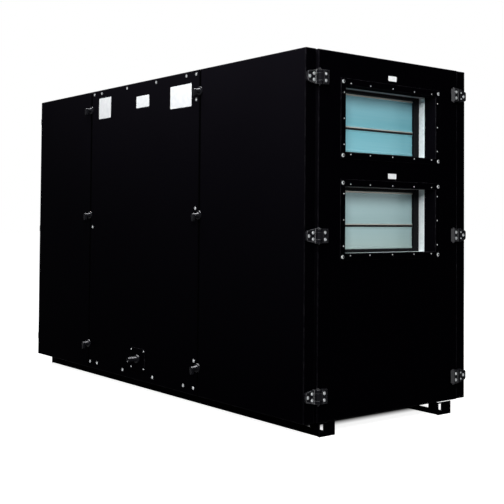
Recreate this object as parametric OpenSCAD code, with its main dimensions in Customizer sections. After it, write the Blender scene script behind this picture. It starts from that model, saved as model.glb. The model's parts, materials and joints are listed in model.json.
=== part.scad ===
// Air handling unit: an insulated sheet-steel casing on two base rails.
// One long side has a lift-off middle panel held by clamps, with a condensate
// drain below it. One end is a hinged door that carries two duct openings,
// each with its own shut-off damper behind it.
// +X runs along the casing towards the door, -Y is the side with the clamps,
// +Z is up. All sizes are in millimetres.

/* [Casing] */
// Length of the casing between its two end planes
case_len = 2140; // [1900:10:3000]
// Width of the casing over its long sides
case_w = 880; // [720:10:1400]
// Height of the casing from its underside to its roof
case_h = 1340; // [1150:10:1900]
// Thickness of the insulated walls of the long sides
wall_t = 50; // [30:1:80]
// Thickness of the insulated roof and floor
deck_t = 50; // [30:1:80]
// Bevel along the folded outer edges of the panels
fold = 2; // [1:0.5:5]

/* [Long sides] */
// Distance from the door end to the first joint between panels
right_panel_w = 654; // [400:1:800]
// Width of the lift-off panel, from joint to joint
middle_panel_w = 924; // [600:1:1100]
// Width of the open joint between two panels
panel_gap = 4; // [2:0.5:8]
// Width of the inside post behind each joint
mullion_w = 80; // [60:1:120]
// Depth of the inside post behind each joint
mullion_t = 40; // [25:1:60]

/* [Door] */
// Clear gap between the door and the walls on either side of it
door_gap = 8; // [6:0.5:14]
// How far the door stands out from the ends of the walls
door_proud = 7; // [3:0.5:15]
// How far the door reaches in between the walls
door_in = 50; // [30:1:80]
// Clear gap between the closed door and what it shuts against
seal_gap = 6; // [5:0.5:12]
// Width of the upright stops behind the door's edges
stop_w = 30; // [20:1:50]
// Thickness of the upright stops
stop_t = 20; // [10:1:40]

/* [Duct openings] */
// Width of a duct opening
port_w = 500; // [300:5:560]
// Height of a duct opening
port_h = 250; // [150:5:320]
// From the roof down to the centre of the upper opening
port_drop = 243; // [190:1:320]
// From the centre of the upper opening down to the centre of the lower one
port_pitch = 373; // [360:1:450]
// Width of the flat frame around an opening
flange_w = 24; // [20:1:40]
// Thickness of the flat frame
flange_t = 3; // [2:0.5:6]
// Corner bolts, from the side of the opening outwards
bolt_off_y = 13; // [10:0.5:18]
// Corner bolts, from the top or bottom of the opening outwards
bolt_off_z = 11; // [10:0.5:18]
// Radius of the corner bolt holes in the frame
bolt_r = 4.5; // [3:0.5:6]
// Radius of the blind holes for the bolts in the end panels
insert_r = 5; // [4:0.5:8]
// Depth of those blind holes
insert_d = 30; // [15:1:40]

/* [Dampers] */
// Depth of the sheet sleeve behind an opening
sleeve_len = 75; // [60:1:140]
// Thickness of the sleeve
sleeve_t = 3; // [2:0.5:6]
// From the back of the end panel to the front of the damper frame
frame_set = 30; // [10:1:50]
// Depth of the damper frame
frame_d = 40; // [30:1:60]
// Width of the upright sides of the damper frame
jamb_w = 27; // [15:1:40]
// Height of the top and bottom of the damper frame
rail_w = 11; // [8:1:30]
// How far the split between the two leaves lies below the opening's centre
leaf_split = 21; // [0:1:40]
// Thickness of a leaf
leaf_t = 6; // [4:0.5:12]
// Height of the folded lip along a leaf's edges
lip_h = 7; // [4:0.5:12]
// How far the folded lip stands out
lip_out = 2; // [1:0.5:4]
// From the front of the damper frame back to the leaves
leaf_set = 10; // [4:1:20]
// Clear gap around a leaf
leaf_clear = 2; // [1:0.5:4]
// Radius of the spindle that carries a leaf
spindle_r = 2.5; // [1.5:0.5:3]

/* [Hinges and keepers] */
// Height of a hinge
hinge_h = 52; // [40:1:80]
// Height of the outer end of a hinge leaf
leaf_end_h = 36; // [24:1:52]
// Corner radius at the outer end of a hinge leaf
leaf_corner = 8; // [3:0.5:12]
// Thickness of the leaf that is screwed to the wall
leaf_plate_t = 10; // [6:0.5:14]
// Width of the raised rim around a leaf
leaf_rim = 3; // [2:0.5:5]
// How deep the field inside the rim lies below it
leaf_sink = 4; // [1:0.5:5]
// Distance from the casing's side to the outer end of a leaf
leaf_edge = 4; // [2:0.5:10]
// How far the blocks on the door stand out from the ends of the walls
block_out = 26; // [22:0.5:40]
// Width of a block on the door
block_w = 27; // [20:1:50]
// Bevel of the blocks' edges
block_bevel = 2; // [1:0.5:5]
// Width of the rim around a block's outer face
block_rim = 4; // [3:0.5:6]
// How deep the field inside that rim lies below it
block_sink = 4.5; // [1:0.5:6]
// How far the pin's axis stands out from the ends of the walls
pin_out = 17; // [14:0.5:24]
// Radius of the hinge pin
pin_r = 4; // [3:0.5:6]
// Radius of the knuckles around the pin
knuckle_r = 8; // [6:0.5:9]
// How far the lugs of the outer knuckles reach onto the plate
lug_foot = 2; // [1:0.5:6]
// Height of the middle knuckle, which turns with the door
knuckle_mid = 25; // [16:1:32]
// Radial clearance of the pin in the middle knuckle
pin_clear = 0.3; // [0.1:0.05:0.5]
// Clear gap above and below the middle knuckle
knuckle_clear = 0.5; // [0.3:0.1:1]
// Clear gap from the knuckles to the block beside them
block_clear = 4; // [3:0.5:8]
// Length of pin that shows above and below a fitting
pin_nub = 5; // [2:0.5:10]
// Height of the lowest hinge's centre above the casing's underside
hinge_low = 94; // [70:1:200]
// From the roof down to the highest hinge's centre
hinge_drop = 103; // [70:1:200]
// Width of the catch along the inner edge of a keeper
catch_w = 7; // [4:0.5:12]
// How far the catch stands out from the end of the wall
catch_out = 16; // [12:0.5:24]

/* [Clamps] */
// Height of the lowest clamps above the casing's underside
clamp_low = 115; // [70:1:250]
// From the roof down to the middle clamps
clamp_mid_drop = 602; // [400:1:800]
// From the roof down to the highest clamps
clamp_drop = 90; // [60:1:200]
// How far a clamp stands out from the side
clamp_out = 34; // [25:1:50]
// Radius of a clamp's foot
clamp_foot_r = 18; // [12:0.5:24]
// Thickness of a clamp's foot
clamp_foot_t = 5; // [3:0.5:8]
// Radius of a clamp's stem
clamp_stem_r = 6; // [4:0.5:10]
// Radius of the swell where the stem meets the foot
clamp_swell_r = 11; // [7:0.5:12]
// From a clamp's stem down to the round lower end of its lever
lever_l = 19; // [14:0.5:60]
// Radius of the lever's upper end, around the stem
lever_r = 8; // [6:0.5:12]
// Radius of the lever's lower end
lever_tip_r = 6; // [3:0.5:8]
// Thickness of a lever
lever_t = 11; // [6:0.5:16]

/* [Drain] */
// Distance of the drain from the middle of the lift-off panel
drain_off = 2; // [0:1:150]
// Height of the drain above the casing's underside
drain_z = 95; // [60:1:160]
// Width of the drain's plate
drain_plate_w = 120; // [80:1:160]
// Height of the drain's plate
drain_plate_h = 95; // [60:1:110]
// Thickness of the drain's plate
drain_plate_t = 4; // [2:0.5:8]
// Corner radius of the drain's plate
drain_plate_r = 6; // [2:0.5:15]
// How far the drain pipe stands out from the side
drain_out = 54; // [40:1:90]
// Outer radius of the drain pipe
drain_r = 10; // [8:0.5:20]
// Radius of the drain pipe's bore
drain_bore_r = 7.5; // [5:0.5:16]
// Radius of the collar at the foot of the pipe
drain_collar_r = 18; // [14:0.5:30]
// Thickness of the collar
drain_collar_t = 8; // [4:0.5:14]

/* [Base] */
// Height of the base rails
base_h = 56; // [40:1:150]
// Width of a base rail
rail_base_w = 78; // [50:1:120]
// Thickness of the base rails' sheet
rail_t = 4; // [3:0.5:8]
// Outer radius of the bends in a base rail
rail_bend = 8; // [6:0.5:14]
// Distance from the long side to the nearer face of the rail beside it
rail_in = 80; // [20:1:160]
// How far the rails stop short of the end planes
rail_short = 5; // [0:1:30]
// Width of the upright slot in a rail's end plate
slot_w = 17; // [8:1:30]
// Height of that slot
slot_h = 27; // [12:1:40]
// Height of the slot's lower end above the ground
slot_z = 18; // [6:1:40]
// From the edge of the end plate to the slot
slot_in = 5; // [4:1:20]
// From the end of a rail to the opening in its web
web_cut_in = 50; // [20:1:200]
// Length of the opening in a rail's web
web_cut_l = 100; // [40:1:300]
// Height of the opening in a rail's web
web_cut_h = 20; // [10:1:40]

/* [Hidden] */
$fn = 48;
coat = [0.03, 0.03, 0.04];
fitting = [0.05, 0.05, 0.06];
zinc = [0.72, 0.74, 0.75];
cyan_leaf = [0.42, 0.66, 0.71];
grey_leaf = [0.55, 0.65, 0.65];

end_x = case_len / 2;
side_y = case_w / 2;
inner_y = side_y - wall_t;
top_z = base_h + case_h;
door_t = door_in + door_proud;
door_half = inner_y - door_gap;
face_x = end_x + door_proud;
floor_z = base_h + deck_t;
ceiling_z = top_z - deck_t;
shut_x = end_x - door_in - seal_gap;
pin_y = inner_y - door_gap / 2;
joint_1 = end_x - right_panel_w;
joint_2 = joint_1 - middle_panel_w;
drain_x = (joint_1 + joint_2) / 2 - drain_off;
leaf_span = port_w - 2 * jamb_w;
block_in = knuckle_r + block_clear;
hinge_zs = [base_h + hinge_low,
    (base_h + hinge_low + top_z - hinge_drop) / 2, top_z - hinge_drop];
clamp_zs = [base_h + clamp_low, top_z - clamp_mid_drop, top_z - clamp_drop];

// The origin is on the ground under the middle of the whole unit's box. Both ends
// reach equally far, and the drain stands out further than the clamps behind.
front_out = max(drain_out, clamp_out);
shift_y = (front_out - clamp_out) / 2;

function port_z(level) = top_z - port_drop - level * port_pitch;

// Points of an arc of radius r about c
function arc(c, r, a0, a1, n = 6) = [for (i = [0:n])
    let (a = a0 + (a1 - a0) * i / n) [c[0] + r * cos(a), c[1] + r * sin(a)]];

module placed()
    translate([0, shift_y, 0]) children();

// Base

// Section of a base rail: a sheet folded into a channel, web on the clamp side
module rail_section() {
    inner = rail_bend - rail_t;
    low = [rail_bend, rail_bend];
    high = [rail_bend, base_h - rail_bend];
    polygon(concat(
        [[rail_base_w, 0]], arc(low, rail_bend, 270, 180),
        arc(high, rail_bend, 180, 90), [[rail_base_w, base_h]],
        [[rail_base_w, base_h - rail_t]], arc(high, inner, 90, 180),
        arc(low, inner, 180, 270), [[rail_base_w, rail_t]]));
}

// A rail with its end plates. Under the end panels it is cut down, so that the
// door swings clear of it.
module base_rail() {
    half = end_x - rail_short;
    under = door_in + seal_gap - rail_short;
    difference() {
        union() {
            translate([-half, 0, 0]) rotate([90, 0, 90])
                linear_extrude(2 * half) rail_section();
            for (end = [0, 1])
                mirror([end, 0, 0])
                    translate([half - rail_t, 0, 0])
                        cube([rail_t, rail_base_w, base_h]);
        }
        for (end = [0, 1])
            mirror([end, 0, 0]) {
                translate([half - under, -1, base_h - seal_gap])
                    cube([under + 1, rail_base_w + 2, seal_gap + 1]);
                translate([half - rail_t - 1, slot_in, slot_z])
                    cube([rail_t + 2, slot_w, slot_h]);
                translate([half - web_cut_in - web_cut_l, -1, (base_h - web_cut_h) / 2])
                    cube([web_cut_l, rail_t + 2, web_cut_h]);
            }
    }
}

module base_rail_front()
    color(coat) placed()
        translate([0, -side_y + rail_in, 0]) base_rail();

module base_rail_back()
    color(coat) placed()
        translate([0, side_y - rail_in - rail_base_w, 0]) base_rail();

// Casing

// Roof and floor lie between the long walls, from the end panel to the door
module deck(z)
    translate([-end_x + door_in, -inner_y, z])
        cube([shut_x + end_x - door_in, 2 * inner_y, deck_t]);

module floor_panel()
    color(coat) placed() deck(base_h);

module roof_panel()
    color(coat) placed() deck(ceiling_z);

// A long-side panel from x0 to x1, with its four outer edges folded over
module wall_panel(x0, x1)
    intersection() {
        translate([0, 0, base_h]) linear_extrude(case_h)
            polygon([[x0, -inner_y], [x0, -side_y + fold], [x0 + fold, -side_y],
                [x1 - fold, -side_y], [x1, -side_y + fold], [x1, -inner_y]]);
        translate([x0, 0, 0]) rotate([90, 0, 90]) linear_extrude(x1 - x0)
            polygon([[-inner_y, base_h], [-side_y + fold, base_h],
                [-side_y, base_h + fold], [-side_y, top_z - fold],
                [-side_y + fold, top_z], [-inner_y, top_z]]);
    }

module wall_left()
    wall_panel(-end_x, joint_2 - panel_gap / 2);

module wall_middle()
    wall_panel(joint_2 + panel_gap / 2, joint_1 - panel_gap / 2);

module wall_right()
    wall_panel(joint_1 + panel_gap / 2, end_x);

module side_panel_left()
    color(coat) placed() wall_left();

module side_panel_middle()
    color(coat) placed() difference() {
        wall_middle();
        translate([drain_x, -inner_y + 1, base_h + drain_z]) rotate([90, 0, 0])
            cylinder(r = drain_bore_r, h = wall_t + 2);
    }

module side_panel_right()
    color(coat) placed() wall_right();

module back_panel_left()
    color(coat) placed() mirror([0, 1, 0]) wall_left();

module back_panel_middle()
    color(coat) placed() mirror([0, 1, 0]) wall_middle();

module back_panel_right()
    color(coat) placed() mirror([0, 1, 0]) wall_right();

// Inside posts that close the joints and carry the panels' edges
module mullions()
    for (x = [joint_1, joint_2])
        translate([x - mullion_w / 2, -inner_y, floor_z])
            cube([mullion_w, mullion_t, ceiling_z - floor_z]);

module side_mullions()
    color(zinc) placed() mullions();

module back_mullions()
    color(zinc) placed() mirror([0, 1, 0]) mullions();

// Uprights that the closed door's edges shut against
module door_stops()
    color(coat) placed()
        for (side = [0, 1])
            mirror([0, side, 0])
                translate([shut_x - stop_t, -inner_y, floor_z])
                    cube([stop_t, stop_w, ceiling_z - floor_z]);

// End panels

// Children are placed on the face of an end panel, at an opening's centre
module near_port(level)
    translate([face_x, 0, port_z(level)]) children();

module far_port(level)
    mirror([1, 0, 0]) near_port(level) children();

module port_bolts()
    for (y = [-1, 1], z = [-1, 1])
        translate([0, y * (port_w / 2 + bolt_off_y), z * (port_h / 2 + bolt_off_z)])
            children();

// A duct opening through an end panel, with blind holes for its corner bolts
module port_cut() {
    translate([-door_t - 1, -port_w / 2, -port_h / 2])
        cube([door_t + 2, port_w, port_h]);
    port_bolts()
        translate([-insert_d, 0, 0]) rotate([0, 90, 0])
            cylinder(r = insert_r, h = insert_d + 1);
}

// An end panel in plan, half the given width to each side
module end_plan(half)
    polygon([[end_x - door_in, -half], [face_x - fold, -half],
        [face_x, -half + fold], [face_x, half - fold],
        [face_x - fold, half], [end_x - door_in, half]]);

module end_slab(half)
    intersection() {
        translate([0, 0, base_h]) linear_extrude(case_h) end_plan(half);
        rotate([90, 0, 0]) linear_extrude(2 * half, center = true)
            polygon([[end_x - door_in, base_h], [face_x - fold, base_h],
                [face_x, base_h + fold], [face_x, top_z - fold],
                [face_x - fold, top_z], [end_x - door_in, top_z]]);
    }

module end_door()
    color(coat) placed() difference() {
        end_slab(door_half);
        for (level = [0, 1])
            near_port(level) port_cut();
    }

// The fixed panel at the other end fills the space between the walls, and a
// groove on either side of it shows where it meets them
module end_panel()
    color(coat) placed() mirror([1, 0, 0]) difference() {
        union() {
            end_slab(inner_y - panel_gap);
            translate([end_x - door_in, -inner_y, base_h])
                cube([door_in - door_proud, 2 * inner_y, case_h]);
        }
        for (level = [0, 1])
            near_port(level) port_cut();
    }

// Flat frame around an opening, with a hole at each corner for the duct's bolts
module duct_flange()
    difference() {
        translate([0, -port_w / 2 - flange_w, -port_h / 2 - flange_w])
            cube([flange_t, port_w + 2 * flange_w, port_h + 2 * flange_w]);
        translate([-1, -port_w / 2, -port_h / 2])
            cube([flange_t + 2, port_w, port_h]);
        port_bolts()
            translate([-1, 0, 0]) rotate([0, 90, 0])
                cylinder(r = bolt_r, h = flange_t + 2);
    }

module flange_upper()
    color(coat) placed() near_port(0) duct_flange();

module flange_lower()
    color(coat) placed() near_port(1) duct_flange();

module far_flange_upper()
    color(coat) placed() far_port(0) duct_flange();

module far_flange_lower()
    color(coat) placed() far_port(1) duct_flange();

// Dampers

module damper_sleeve()
    translate([-door_t - sleeve_len, 0, 0]) difference() {
        translate([0, -port_w / 2 - sleeve_t, -port_h / 2 - sleeve_t])
            cube([sleeve_len, port_w + 2 * sleeve_t, port_h + 2 * sleeve_t]);
        translate([-1, -port_w / 2, -port_h / 2])
            cube([sleeve_len + 2, port_w, port_h]);
    }

module sleeve_upper()
    color(zinc) placed() near_port(0) damper_sleeve();

module sleeve_lower()
    color(zinc) placed() near_port(1) damper_sleeve();

module far_sleeve_upper()
    color(zinc) placed() far_port(0) damper_sleeve();

module far_sleeve_lower()
    color(zinc) placed() far_port(1) damper_sleeve();

module damper_frame()
    translate([-door_t - frame_set - frame_d, 0, 0]) difference() {
        translate([0, -port_w / 2, -port_h / 2])
            cube([frame_d, port_w, port_h]);
        translate([-1, -leaf_span / 2, -port_h / 2 + rail_w])
            cube([frame_d + 2, leaf_span, port_h - 2 * rail_w]);
    }

module damper_frame_upper()
    color(fitting) placed() near_port(0) damper_frame();

module damper_frame_lower()
    color(fitting) placed() near_port(1) damper_frame();

module far_frame_upper()
    color(fitting) placed() far_port(0) damper_frame();

module far_frame_lower()
    color(fitting) placed() far_port(1) damper_frame();

// A shut leaf from z0 to z1: a flat blade with a folded lip along both long
// edges, on a spindle that runs from one side of the frame to the other
module damper_leaf(z0, z1)
    translate([-door_t - frame_set - leaf_set, 0, 0]) rotate([90, 0, 0]) {
        linear_extrude(leaf_span - 2 * leaf_clear, center = true)
            polygon([[0, z0], [0, z0 + lip_h], [-lip_out, z0 + lip_h + lip_out],
                [-lip_out, z1 - lip_h - lip_out], [0, z1 - lip_h], [0, z1],
                [-lip_out - leaf_t, z1], [-lip_out - leaf_t, z0]]);
        translate([-lip_out - leaf_t / 2, (z0 + z1) / 2, 0])
            cylinder(r = spindle_r, h = leaf_span, center = true);
    }

module damper_leaves() {
    damper_leaf(-leaf_split + leaf_clear, port_h / 2 - rail_w - leaf_clear);
    damper_leaf(-port_h / 2 + rail_w + leaf_clear, -leaf_split - leaf_clear);
}

module leaves_upper()
    color(cyan_leaf) placed() near_port(0) damper_leaves();

module leaves_lower()
    color(grey_leaf) placed() near_port(1) damper_leaves();

module far_leaves_upper()
    color(cyan_leaf) placed() far_port(0) damper_leaves();

module far_leaves_lower()
    color(grey_leaf) placed() far_port(1) damper_leaves();

// Hinges and keepers

// Children are placed at each fitting on one edge of the door, with the pin's
// axis at the origin, the casing's outside towards +X and its side towards -Y
module at_fittings()
    for (z = hinge_zs)
        translate([end_x + pin_out, -pin_y, z]) children();

// Outline of a tapered plate, narrower towards the casing's side, drawn in by d
function plate_points(d) = let (
        y0 = leaf_edge - side_y + pin_y,
        y1 = -knuckle_r - d,
        slope = (hinge_h - leaf_end_h) / 2 / (-knuckle_r - y0),
        taper = atan(slope),
        yc = y0 + leaf_corner,
        zc = leaf_end_h / 2 + leaf_corner * slope - leaf_corner / cos(taper),
        z1 = leaf_end_h / 2 + slope * (y1 - y0) - d / cos(taper))
    concat([[y1, -z1], [y1, z1]],
        arc([yc, zc], leaf_corner - d, 90 + taper, 180),
        arc([yc, -zc], leaf_corner - d, 180, 270 - taper));

// Plate on the end of a wall, with a raised rim around a sunk field
module leaf_plate()
    translate([-pin_out, 0, 0]) rotate([90, 0, 90]) difference() {
        linear_extrude(leaf_plate_t) polygon(plate_points(0));
        translate([0, 0, leaf_plate_t - leaf_sink])
            linear_extrude(leaf_sink + 1) polygon(plate_points(leaf_rim));
    }

// Outer knuckles of a hinge, each on a lug along the inner edge of the plate
module outer_knuckle(z, h)
    translate([0, 0, z]) {
        cylinder(r = knuckle_r, h = h);
        linear_extrude(h)
            polygon([[-pin_out, -knuckle_r - lug_foot], [-pin_out, -knuckle_r],
                [-knuckle_r, -knuckle_r * 0.8], [-knuckle_r, 0], [0, 0],
                [0, -knuckle_r], [leaf_plate_t - pin_out, -knuckle_r - lug_foot]]);
    }

// The half of a hinge that stays on the wall, with the pin in its knuckles
module hinge_leaf() {
    h = (hinge_h - knuckle_mid) / 2 - knuckle_clear;
    leaf_plate();
    outer_knuckle(-hinge_h / 2, h);
    outer_knuckle(hinge_h / 2 - h, h);
    cylinder(r = pin_r, h = hinge_h + 2 * pin_nub, center = true);
}

module hinge_leaves()
    color(fitting) placed() at_fittings() hinge_leaf();

// Block on the door's face: bevelled all round, with a sunk field inside its rim
module door_block() {
    low = door_proud - pin_out;
    high = block_out - pin_out;
    y1 = block_in + block_w;
    difference() {
        intersection() {
            linear_extrude(hinge_h, center = true)
                polygon([[low, block_in], [high - block_bevel, block_in],
                    [high, block_in + block_bevel], [high, y1 - block_bevel],
                    [high - block_bevel, y1], [low, y1]]);
            translate([0, y1, 0]) rotate([90, 0, 0]) linear_extrude(block_w)
                polygon([[low, -hinge_h / 2], [high - block_bevel, -hinge_h / 2],
                    [high, block_bevel - hinge_h / 2], [high, hinge_h / 2 - block_bevel],
                    [high - block_bevel, hinge_h / 2], [low, hinge_h / 2]]);
        }
        translate([high - block_sink, block_in + block_rim, block_rim - hinge_h / 2])
            cube([block_sink + 1, block_w - 2 * block_rim, hinge_h - 2 * block_rim]);
    }
}

// The half of a hinge that turns with the door, bored for the pin
module hinge_block()
    difference() {
        union() {
            door_block();
            cylinder(r = knuckle_r, h = knuckle_mid, center = true);
            translate([-knuckle_r, 0, -knuckle_mid / 2])
                cube([2 * knuckle_r, block_in + block_bevel, knuckle_mid]);
        }
        cylinder(r = pin_r + pin_clear, h = knuckle_mid + 2, center = true);
    }

module hinge_blocks()
    color(fitting) placed() at_fittings() hinge_block();

// The keeper on the far wall is the same plate with a raised catch
module keeper_leaf() {
    leaf_plate();
    translate([-pin_out, -knuckle_r - catch_w, -hinge_h / 2])
        cube([catch_out, catch_w, hinge_h]);
}

module keeper_leaves()
    color(fitting) placed() mirror([0, 1, 0]) at_fittings() keeper_leaf();

// Its block on the door has a pull pin down its inner edge
module keeper_block() {
    door_block();
    translate([0, block_in + block_w - pin_r, 0])
        cylinder(r = pin_r, h = hinge_h + 2 * pin_nub, center = true);
}

module keeper_blocks()
    color(fitting) placed() mirror([0, 1, 0]) at_fittings() keeper_block();

// The fixed panel at the other end is held by keepers along both of its edges
module both_edges_far()
    for (side = [0, 1])
        mirror([1, 0, 0]) mirror([0, side, 0]) at_fittings() children();

module far_keeper_leaves()
    color(fitting) placed() both_edges_far() keeper_leaf();

module far_keeper_blocks()
    color(fitting) placed() both_edges_far() keeper_block();

// Clamps and drain

// Outline of a lever that hangs from a clamp's stem, narrower at its lower end
module lever_outline() {
    lean = asin((lever_r - lever_tip_r) / lever_l);
    polygon(concat(
        arc([0, 0], lever_r, -lean, 180 + lean, 16),
        arc([0, -lever_l], lever_tip_r, 180 + lean, 360 - lean, 12)));
}

// A clamp across a joint: foot, swelling stem and a lever that hangs down
module clamp()
    rotate([90, 0, 0]) {
        cylinder(r = clamp_foot_r, h = clamp_foot_t);
        translate([0, 0, clamp_foot_t])
            cylinder(r1 = clamp_swell_r, r2 = clamp_stem_r,
                h = clamp_out - lever_t - clamp_foot_t);
        translate([0, 0, clamp_out - lever_t])
            linear_extrude(lever_t) lever_outline();
    }

module clamp_column(x)
    for (z = clamp_zs)
        translate([x, -side_y, z]) clamp();

module clamps_left()
    color(fitting) placed() clamp_column(joint_2);

module clamps_right()
    color(fitting) placed() clamp_column(joint_1);

module back_clamps_left()
    color(fitting) placed() mirror([0, 1, 0]) clamp_column(joint_2);

module back_clamps_right()
    color(fitting) placed() mirror([0, 1, 0]) clamp_column(joint_1);

// Children are placed on the clamp side at the drain, with +Z outwards
module at_drain()
    placed() translate([drain_x, -side_y, base_h + drain_z]) rotate([90, 0, 0])
        children();

module drain_plate() {
    x = drain_plate_w / 2 - drain_plate_r;
    y = drain_plate_h / 2 - drain_plate_r;
    color(coat) at_drain() difference() {
        linear_extrude(drain_plate_t)
            polygon(concat(arc([x, y], drain_plate_r, 0, 90),
                arc([-x, y], drain_plate_r, 90, 180),
                arc([-x, -y], drain_plate_r, 180, 270),
                arc([x, -y], drain_plate_r, 270, 360)));
        translate([0, 0, -1])
            cylinder(r = drain_bore_r, h = drain_plate_t + 2);
    }
}

module drain_pipe()
    color(fitting) at_drain() translate([0, 0, drain_plate_t]) difference() {
        union() {
            cylinder(r = drain_collar_r, h = drain_collar_t);
            cylinder(r = drain_r, h = drain_out - drain_plate_t);
        }
        translate([0, 0, -1])
            cylinder(r = drain_bore_r, h = drain_out + 2);
    }

base_rail_front();
base_rail_back();
floor_panel();
roof_panel();
side_panel_left();
side_panel_middle();
side_panel_right();
back_panel_left();
back_panel_middle();
back_panel_right();
side_mullions();
back_mullions();
door_stops();
end_panel();
far_flange_upper();
far_flange_lower();
far_sleeve_upper();
far_sleeve_lower();
far_frame_upper();
far_frame_lower();
far_leaves_upper();
far_leaves_lower();
hinge_leaves();
keeper_leaves();
far_keeper_leaves();
far_keeper_blocks();
clamps_left();
clamps_right();
back_clamps_left();
back_clamps_right();
drain_plate();
drain_pipe();
end_door();
flange_upper();
flange_lower();
sleeve_upper();
sleeve_lower();
damper_frame_upper();
damper_frame_lower();
leaves_upper();
leaves_lower();
hinge_blocks();
keeper_blocks();
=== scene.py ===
# %% [markdown]
# # Dressing an air handling unit
# An air handling unit is a large insulated steel cabinet that cleans, warms and moves the
# air of a building. Its big forms are already solids: walls, a door, dampers, hinges, rails.
# This lesson loads those solids as a fixed frame and then adds what a solid model leaves
# out: finishes, screws, bare plates, seals, light and a camera. We never move a solid. If a
# form were wrong, we would mend it in the solid model and pack it again.

# %% Load the frame
import json
import math
import bmesh
import bpy
from mathutils import Matrix, Vector


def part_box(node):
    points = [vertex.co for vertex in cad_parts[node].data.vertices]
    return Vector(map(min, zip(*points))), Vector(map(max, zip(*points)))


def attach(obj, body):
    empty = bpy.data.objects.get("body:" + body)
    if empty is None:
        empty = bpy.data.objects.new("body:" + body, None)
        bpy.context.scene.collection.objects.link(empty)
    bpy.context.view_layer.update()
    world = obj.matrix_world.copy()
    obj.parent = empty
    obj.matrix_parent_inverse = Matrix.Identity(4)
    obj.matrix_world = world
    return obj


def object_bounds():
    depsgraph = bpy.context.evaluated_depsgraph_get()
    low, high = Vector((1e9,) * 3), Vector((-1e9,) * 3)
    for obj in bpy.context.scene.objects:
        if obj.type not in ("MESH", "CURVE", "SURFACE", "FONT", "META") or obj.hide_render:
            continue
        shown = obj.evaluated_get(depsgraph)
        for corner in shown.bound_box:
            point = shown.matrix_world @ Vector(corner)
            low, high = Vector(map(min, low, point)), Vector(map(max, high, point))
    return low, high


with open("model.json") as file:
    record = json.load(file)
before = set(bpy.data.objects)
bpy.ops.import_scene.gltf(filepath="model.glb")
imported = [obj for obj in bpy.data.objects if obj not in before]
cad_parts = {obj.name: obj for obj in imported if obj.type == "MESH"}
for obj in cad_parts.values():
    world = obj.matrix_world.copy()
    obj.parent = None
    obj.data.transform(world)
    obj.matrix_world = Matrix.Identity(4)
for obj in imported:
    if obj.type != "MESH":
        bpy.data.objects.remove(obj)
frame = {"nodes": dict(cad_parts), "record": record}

cad_low, cad_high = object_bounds()
print("box of the solids:", [round(a, 3) for a in cad_high - cad_low], "m")

# %% [markdown]
# ## The camera
# A photograph of a box tells us where its camera stood: the edges run to vanishing points,
# and these give the focal length and the angles. We could line the camera up by eye in the
# viewport, but angles written as numbers can be repeated and corrected one at a time. The
# picture reaches further below the optical axis than above it, so the lens is shifted.

# %% Camera
# Width of the photograph, focal length and rise of the optical axis, in pixels
PHOTO, FOCAL, AXIS_UP = 504, 928.1, 60.5
SENSOR_MM = 36
# Degrees from the unit's length, above the horizon and round the line of sight
YAW, PITCH, ROLL = 38.17, 1.72, 0.47
CAMERA_AT = (3.544, -2.613, 0.779)

yaw, pitch, roll = (math.radians(a) for a in (YAW, PITCH, ROLL))
ahead = Vector((-math.cos(yaw) * math.cos(pitch), math.sin(yaw) * math.cos(pitch), math.sin(pitch)))
right = ahead.cross(Vector((0, 0, 1))).normalized()
up = right.cross(ahead)
across = right * math.cos(roll) + up * math.sin(roll)
upright = up * math.cos(roll) - right * math.sin(roll)

scene = bpy.context.scene
camera = bpy.data.objects.new("camera", bpy.data.cameras.new("camera"))
scene.collection.objects.link(camera)
scene.camera = camera
camera.data.sensor_width = SENSOR_MM
camera.data.lens = FOCAL * SENSOR_MM / PHOTO
camera.data.shift_y = -AXIS_UP / PHOTO
aimed = Matrix((across, upright, -ahead)).transposed().to_4x4()
camera.matrix_world = Matrix.Translation(CAMERA_AT) @ aimed
scene.view_settings.view_transform = "Standard"
print("lens:", round(camera.data.lens, 2), "mm, shift:", round(camera.data.shift_y, 3))

# %% [markdown]
# ## Small helpers for node trees
# World, materials and geometry are all node trees in Blender. Adding a node by hand takes a
# line to make it, one for each value and one for each link. `add` does all three: a value
# that is a socket becomes a link, anything else is set on the input. The other helpers are
# short forms of nodes that come back in nearly every tree.

# %% Node helpers
def add(tree, kind, inputs=None, **settings):
    made = tree.nodes.new(kind)
    for name, value in settings.items():
        setattr(made, name, value)
    for name, value in (inputs or {}).items():
        if isinstance(value, bpy.types.NodeSocket):
            tree.links.new(value, made.inputs[name])
        else:
            made.inputs[name].default_value = value
    return made


def maths(tree, operation, a, b=0.0):
    return add(tree, "ShaderNodeMath", {0: a, 1: b}, operation=operation).outputs[0]


def times(tree, a, b):
    return maths(tree, "MULTIPLY", a, b)


def remap(tree, value, taken, given=(0.0, 1.0)):
    """Stretches the span `taken` to the span `given` and stops at its ends."""
    return add(tree, "ShaderNodeMapRange", {"Value": value, "From Min": taken[0], "From Max": taken[1],
                                            "To Min": given[0], "To Max": given[1]}).outputs[0]


def parts(tree, vector):
    return add(tree, "ShaderNodeSeparateXYZ", {0: vector}).outputs

# %% [markdown]
# ## The studio
# Product photographs often have a white surround. Flooding the set with light until it
# burns out would wash the black coat grey. So the surround is white only for the rays that
# look at it, and for all others it is a dim, slightly blue sky that lights the unit softly.

# %% World
SKY, SKY_STRENGTH = (0.93, 0.96, 1.0, 1), 0.22
WHITE = (1, 1, 1, 1)


def seen_rays(tree):
    """1 for the rays that look at the backdrop, 0 for the rays that carry its light."""
    path = add(tree, "ShaderNodeLightPath").outputs
    looking = maths(tree, "MAXIMUM", path["Is Camera Ray"], path["Is Glossy Ray"])
    return maths(tree, "MAXIMUM", looking, path["Is Transmission Ray"])


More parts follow.
